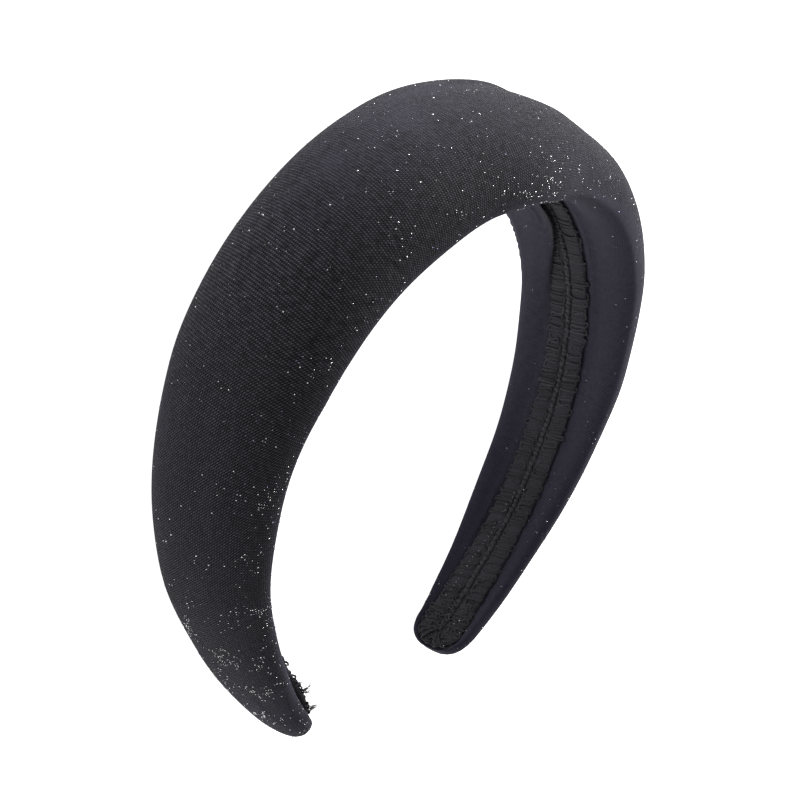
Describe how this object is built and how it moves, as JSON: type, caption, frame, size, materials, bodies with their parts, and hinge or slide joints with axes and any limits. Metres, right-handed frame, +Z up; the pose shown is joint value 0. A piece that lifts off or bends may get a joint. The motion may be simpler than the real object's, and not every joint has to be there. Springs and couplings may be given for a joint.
{
  "type": "padded headband",
  "caption": "Broad padded headband in tight dark knitted fabric, tapering to rounded tips, with a narrow braided trim glued along its inner side.",
  "frame": {"origin": "on the surface it rests on, under the middle of its box", "axes": "+Y towards the crown, tips at -Y, +Z up, which is towards the face when worn; +X to the wearer's left"},
  "size_m": [0.16, 0.1502, 0.0468],
  "materials": {
    "cover_fabric": "near black knitted cloth with fine metallic specks",
    "trim_thread": "near black braided thread"
  },
  "bodies": {
    "root": {"padded_band": "cover_fabric", "trim_braid": "trim_thread"}
  },
  "joints": []
}
